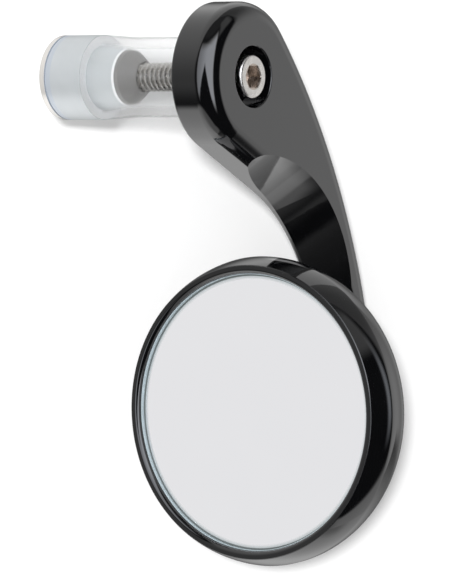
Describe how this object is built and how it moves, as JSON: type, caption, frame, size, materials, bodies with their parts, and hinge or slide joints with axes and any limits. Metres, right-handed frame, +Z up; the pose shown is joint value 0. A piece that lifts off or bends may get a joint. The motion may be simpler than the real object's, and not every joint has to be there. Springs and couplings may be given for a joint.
{
  "type": "motorcycle bar end mirror",
  "caption": "Round mirror on a swept, scooped arm that clamps into the open end of a handlebar by a screw-drawn expander; the mirror head turns on a ball joint.",
  "frame": {"origin": "on the bar axis, in the plane of the arm's inner face that seats on the end of the bar", "axes": "+X outboard along the bar axis, towards the bolt's head; -X into the bar; the mirror faces -Y; +Z up"},
  "size_m": [0.081, 0.0644, 0.1243],
  "materials": {
    "black_coat": "gloss black coat",
    "stainless": "satin",
    "plain_aluminium": "turned",
    "clear_sleeve": "clear",
    "stud_steel": "plain",
    "nylon": "matte",
    "foam": "matte",
    "mirror": "silvered"
  },
  "bodies": {
    "expander": {"expander_sleeve": "clear_sleeve"},
    "nut": {"wedge_nut": "plain_aluminium"},
    "bolt": {"clamp_bolt": "stainless"},
    "arm": {"arm": "black_coat", "clamp_washer": "stainless", "ball_stud": "stud_steel"},
    "liner": {"ball_liner": "nylon"},
    "mirror_head": {"mirror_housing": "black_coat", "ball_retainer": "plain_aluminium", "retainer_screws": "stud_steel", "mirror_pad": "foam", "mirror_glass": "mirror"}
  },
  "joints": [
    {"name": "arm_swivel", "type": "hinge", "parent": "expander", "child": "arm", "pos_m": [0, 0, 0], "axis": [1, 0, 0], "continuous": true},
    {"name": "bolt_turn", "type": "hinge", "parent": "expander", "child": "bolt", "pos_m": [0, 0, 0], "axis": [-1, 0, 0], "range_deg": [0, 720]},
    {"name": "nut_draw", "type": "slide", "parent": "expander", "child": "nut", "axis": [1, 0, 0], "range_m": [0, 0.00254], "deforming": ["expander_sleeve"]},
    {"name": "mirror_pan", "type": "hinge", "parent": "arm", "child": "liner", "pos_m": [0.00525, 0.0203, -0.0735], "axis": [0, 0, 1], "range_deg": [-18, 18]},
    {"name": "mirror_tilt", "type": "hinge", "parent": "liner", "child": "mirror_head", "pos_m": [0.00525, 0.0203, -0.0735], "axis": [1, 0, 0], "range_deg": [-15, 15]}
  ],
  "couplings": [
    {"joint": "nut_draw", "follows": "bolt_turn", "m_per_rad": 0.000202}
  ]
}
